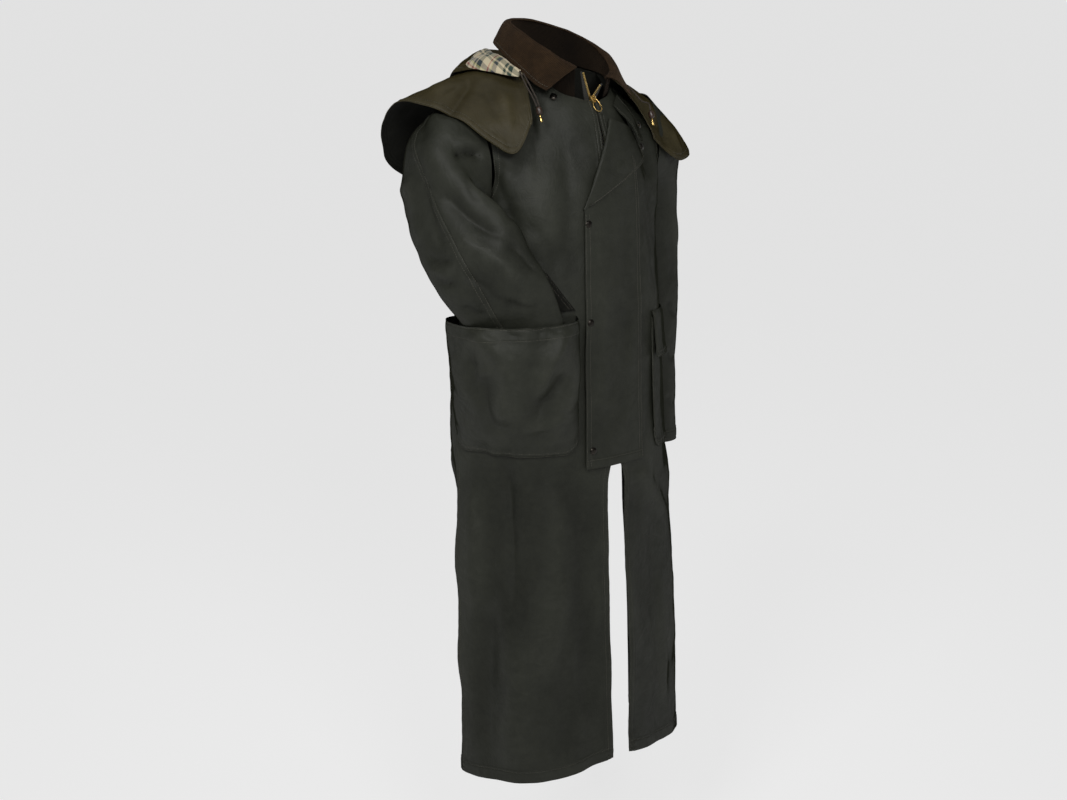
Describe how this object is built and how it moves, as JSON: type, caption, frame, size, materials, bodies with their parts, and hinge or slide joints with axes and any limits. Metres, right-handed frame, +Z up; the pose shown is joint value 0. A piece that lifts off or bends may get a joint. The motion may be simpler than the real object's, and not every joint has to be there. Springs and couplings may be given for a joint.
{
  "type": "riding coat",
  "caption": "Long waxed riding coat, hollow in its worn form, with shoulder cape, folded hood, corduroy collar, storm flap over a zip, patch pockets and a back vent.",
  "frame": {"origin": "middle of the neck opening, level with its side points, where the wearer holds the coat up", "axes": "+Z up along the wearer's spine, -Y the coat's front, +X the wearer's left"},
  "size_m": [0.6236, 0.3901, 1.3294],
  "materials": {
    "waxed_cotton": "waxed, soft sheen",
    "brown_corduroy": "ribbed pile",
    "checked_lining": "woven check",
    "zip_tape": "woven tape",
    "brass": "polished",
    "dark_bronze": "dark lacquer",
    "brown_cord": "braided",
    "stopper_leather": "polished"
  },
  "bodies": {
    "coat": {"back_left": "waxed_cotton", "back_right": "waxed_cotton", "cape": "waxed_cotton", "collar_leaf": "brown_corduroy", "collar_stand": "brown_corduroy", "cord_stopper_left": "stopper_leather", "cord_stopper_right": "stopper_leather", "cord_tip_left": "brass", "cord_tip_right": "brass", "drawcord_left": "brown_cord", "drawcord_right_far": "brown_cord", "drawcord_right_near": "brown_cord", "front_left": "waxed_cotton", "front_right": "waxed_cotton", "hood_lining": "checked_lining", "hood_shell": "waxed_cotton", "pocket_flap_left": "waxed_cotton", "pocket_flap_right": "waxed_cotton", "pocket_left": "waxed_cotton", "pocket_right": "waxed_cotton", "sleeve_left_back": "waxed_cotton", "sleeve_left_front": "waxed_cotton", "sleeve_right_back": "waxed_cotton", "sleeve_right_front": "waxed_cotton", "snap_flap_foot": "dark_bronze", "snap_flap_middle": "dark_bronze", "snap_flap_top": "dark_bronze", "snap_lapel": "dark_bronze", "snap_neck": "dark_bronze", "snap_throat_tab": "dark_bronze", "storm_flap": "waxed_cotton", "throat_tab": "waxed_cotton", "zip_bail": "brass", "zip_left": "zip_tape", "zip_right": "zip_tape", "zip_slider": "brass"},
    "zip_pull": {"zip_pull": "brass"}
  },
  "joints": [
    {"name": "zip_pull_swing", "type": "hinge", "parent": "coat", "child": "zip_pull", "pos_m": [0, -0.09673, -0.0328], "axis": [-1, 0, 0], "range_deg": [0, 150]}
  ]
}
